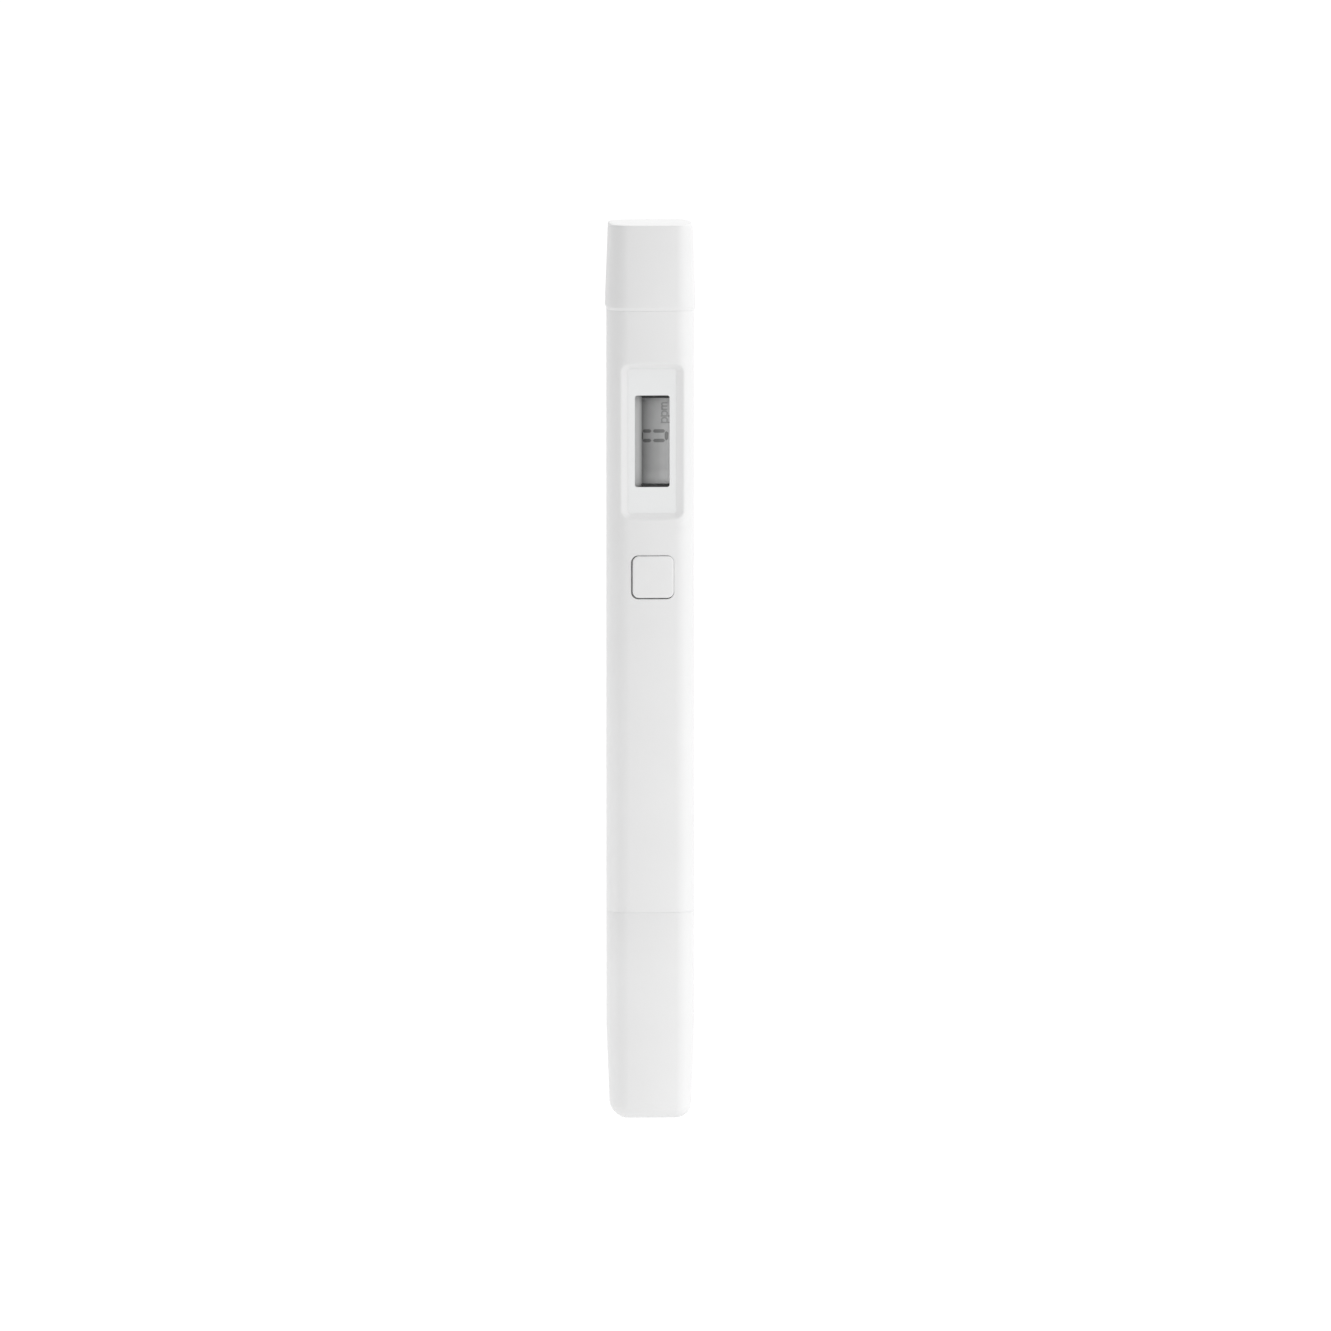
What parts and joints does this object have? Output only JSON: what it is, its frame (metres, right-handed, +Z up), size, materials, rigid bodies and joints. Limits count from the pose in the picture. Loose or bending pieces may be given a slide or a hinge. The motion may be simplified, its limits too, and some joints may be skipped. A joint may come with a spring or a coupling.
{
  "type": "digital water tester",
  "caption": "Slim square pen-type digital water tester with a recessed display, one key, a slide-off battery cover and a pull-off cap over its two-pin probe.",
  "frame": {"origin": "middle of the flat foot under the probe cap, which is the bottom centre of the bounding box", "axes": "+Z up along the pen from the probe to the battery cover; the display and the key face -Y; +X to their right seen from the front"},
  "size_m": [0.0152, 0.0152, 0.15],
  "materials": {
    "white_shell": "fine spark-textured white ABS",
    "clear_lens": "clear hard-coated film",
    "white_print": "flat white screen print",
    "black_foam": "closed-cell black foam",
    "ivory_plastic": "plain moulded plastic",
    "lcd_film": "grey polarising film",
    "lcd_glass": "thin display glass",
    "reflector": "satin reflecting film",
    "silicone": "soft silicone",
    "zebra": "layered conductive elastomer",
    "board": "green solder mask on glass fibre",
    "chip": "black moulding compound",
    "smd": "small ceramic chips with tinned ends",
    "steel": "bright steel",
    "nickel": "nickel-plated steel",
    "switch_black": "black nylon",
    "white_key": "fine-textured white ABS",
    "titanium": "drawn titanium",
    "epoxy": "dark epoxy bead",
    "o_ring": "black nitrile rubber",
    "wire": "thin insulated lead"
  },
  "bodies": {
    "tester": {"housing": "white_shell", "display_lens": "clear_lens", "lens_mask": "white_print", "display_gasket": "black_foam", "lcd_holder": "ivory_plastic", "lcd_polarizer": "lcd_film", "lcd_glass": "lcd_glass", "lcd_reflector": "reflector", "zebra_strips": "zebra", "circuit_board": "board", "controller_chip": "chip", "smd_parts": "smd", "tact_switch": "steel", "button_boot": "silicone", "inner_frame": "ivory_plastic", "frame_screws": "steel", "battery_cage": "ivory_plastic", "button_cells": "nickel", "battery_spring": "nickel", "positive_contact": "nickel", "battery_seal": "o_ring", "battery_wires": "wire", "probe_holder": "ivory_plastic", "electrode_pins": "titanium", "thermistor": "epoxy", "probe_seal": "o_ring", "probe_wires": "wire"},
    "probe_cap": {"probe_cap": "white_shell"},
    "battery_cover": {"battery_cover": "white_shell"},
    "power_button": {"power_button": "white_key"},
    "switch_plunger": {"switch_plunger": "switch_black"}
  },
  "joints": [
    {"name": "probe_cap_slide", "type": "slide", "parent": "tester", "child": "probe_cap", "axis": [0, 0, -1], "range_m": [0, 0.036]},
    {"name": "battery_cover_slide", "type": "slide", "parent": "tester", "child": "battery_cover", "axis": [0, 0, 1], "range_m": [0, 0.02]},
    {"name": "key_press", "type": "slide", "parent": "tester", "child": "power_button", "axis": [0, 1, 0], "range_m": [0, 0.0003]},
    {"name": "plunger_press", "type": "slide", "parent": "tester", "child": "switch_plunger", "axis": [0, 1, 0], "range_m": [0, 0.0003]}
  ],
  "couplings": [
    {"joint": "plunger_press", "follows": "key_press", "ratio": 1}
  ]
}
